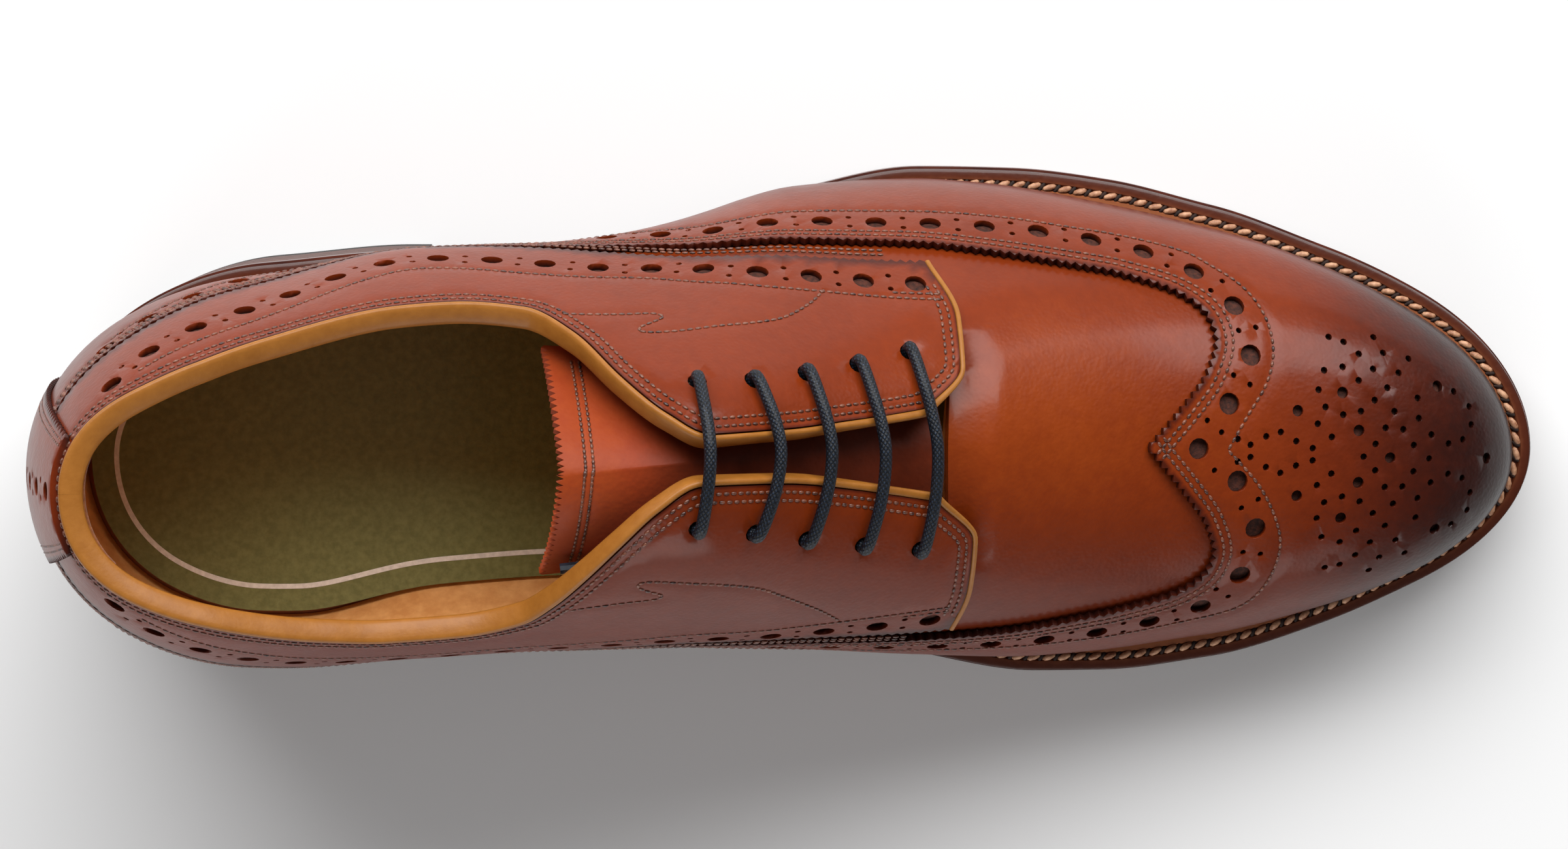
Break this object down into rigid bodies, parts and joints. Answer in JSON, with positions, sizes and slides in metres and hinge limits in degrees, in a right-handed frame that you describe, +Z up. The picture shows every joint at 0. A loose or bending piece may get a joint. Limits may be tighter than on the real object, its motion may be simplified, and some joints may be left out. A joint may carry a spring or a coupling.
{
  "type": "leather derby shoe",
  "caption": "Left longwing brogue derby shoe: lasted leather upper in layers, bound topline, laced facings, hinged tongue, welted leather sole with a stacked heel.",
  "frame": {"origin": "middle of the shoe's box in plan, on the ground", "axes": "+X from the heel to the toe, +Y to the outer (lateral) side of a left foot, +Z up"},
  "size_m": [0.303, 0.1056, 0.1061],
  "materials": {
    "upper_leather": "burnished calf, polished",
    "wing_leather": "burnished calf, dark at the toe, polished",
    "binding_leather": "tan rolled binding, satin",
    "lining_leather": "natural calf lining, matt",
    "sock_leather": "olive sock leather with a silver line, satin",
    "tongue_leather": "calf, satin",
    "sole_leather": "oak bark sole leather, matt",
    "edge_leather": "stained and waxed edge, gloss",
    "heel_leather": "stacked lifts, stained and waxed edge",
    "heel_rubber": "matt rubber",
    "stiffener": "leatherboard, rough",
    "cork": "cork and glue paste",
    "rib_tape": "woven cotton tape",
    "shank_steel": "spring steel strip",
    "nail_brass": "brass nail",
    "lace_cotton": "round waxed cotton lace",
    "aglet": "clear plastic tip"
  },
  "bodies": {
    "shoe": {"wing_tip": "wing_leather", "vamp": "upper_leather", "quarter_lateral": "upper_leather", "quarter_medial": "upper_leather", "backstay": "wing_leather", "topline_binding_lateral": "binding_leather", "topline_binding_medial": "binding_leather", "heel_counter": "stiffener", "toe_puff": "stiffener", "vamp_lining": "lining_leather", "quarter_lining_lateral": "lining_leather", "quarter_lining_medial": "lining_leather", "heel_grip": "lining_leather", "facing_stay_lateral": "rib_tape", "facing_stay_medial": "rib_tape", "outsole": "sole_leather", "welt": "edge_leather", "insole_rib": "rib_tape", "insole": "stiffener", "sock": "sock_leather", "shank": "shank_steel", "cork_filler": "cork", "heel_top_piece": "heel_rubber", "heel_lift_1": "heel_leather", "heel_lift_2": "heel_leather", "heel_lift_3": "heel_leather", "lace": "lace_cotton", "aglet_start": "aglet", "aglet_finish": "aglet", "heel_nail_1": "nail_brass", "heel_nail_2": "nail_brass", "heel_nail_3": "nail_brass", "heel_nail_4": "nail_brass", "heel_nail_5": "nail_brass"},
    "tongue": {"tongue": "tongue_leather", "tongue_lining": "lining_leather"}
  },
  "joints": [
    {"name": "tongue_hinge", "type": "hinge", "parent": "shoe", "child": "tongue", "pos_m": [0.028, 0, 0.0685], "axis": [0, -1, 0], "range_deg": [0, 10], "stiffness_Nm_per_rad": 0.8, "springref_deg": -1.15}
  ]
}
